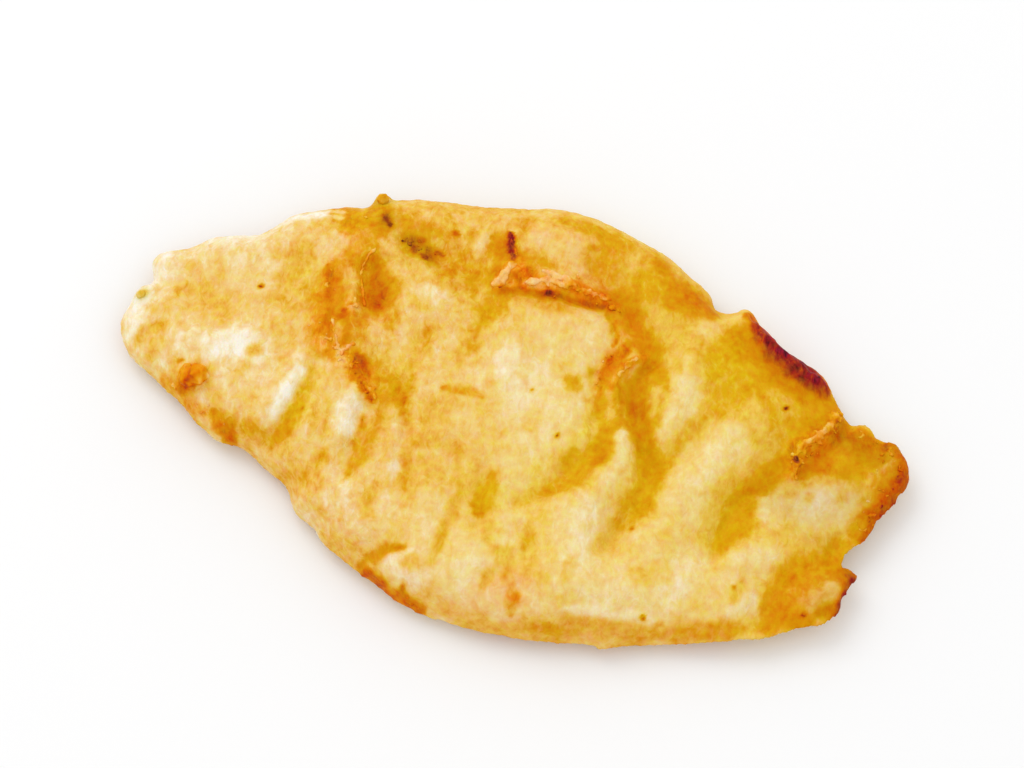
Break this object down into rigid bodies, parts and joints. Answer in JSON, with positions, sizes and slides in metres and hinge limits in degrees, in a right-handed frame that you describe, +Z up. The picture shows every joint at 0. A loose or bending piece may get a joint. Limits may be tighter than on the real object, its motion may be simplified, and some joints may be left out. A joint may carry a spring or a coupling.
{
  "type": "fried halibut fillet",
  "caption": "Thin leaf-shaped fillet of fish in a wrinkled golden egg batter crust, fried, with a blunt pale end and a frayed browned end, lying flat.",
  "frame": {"origin": "on the table, under the middle of the fillet's length and width", "axes": "+X along the fillet from the blunt pale end to the frayed end, +Y across it towards the side with the burnt lip, +Z up"},
  "size_m": [0.1672, 0.0976, 0.0148],
  "materials": {
    "crust": "egg batter fried golden, pale cream on the raised places, deep yellow in the hollows and orange-brown on the crisp lips, with a thin sheen of oil"
  },
  "bodies": {
    "root": {"fillet": "crust"}
  },
  "joints": []
}
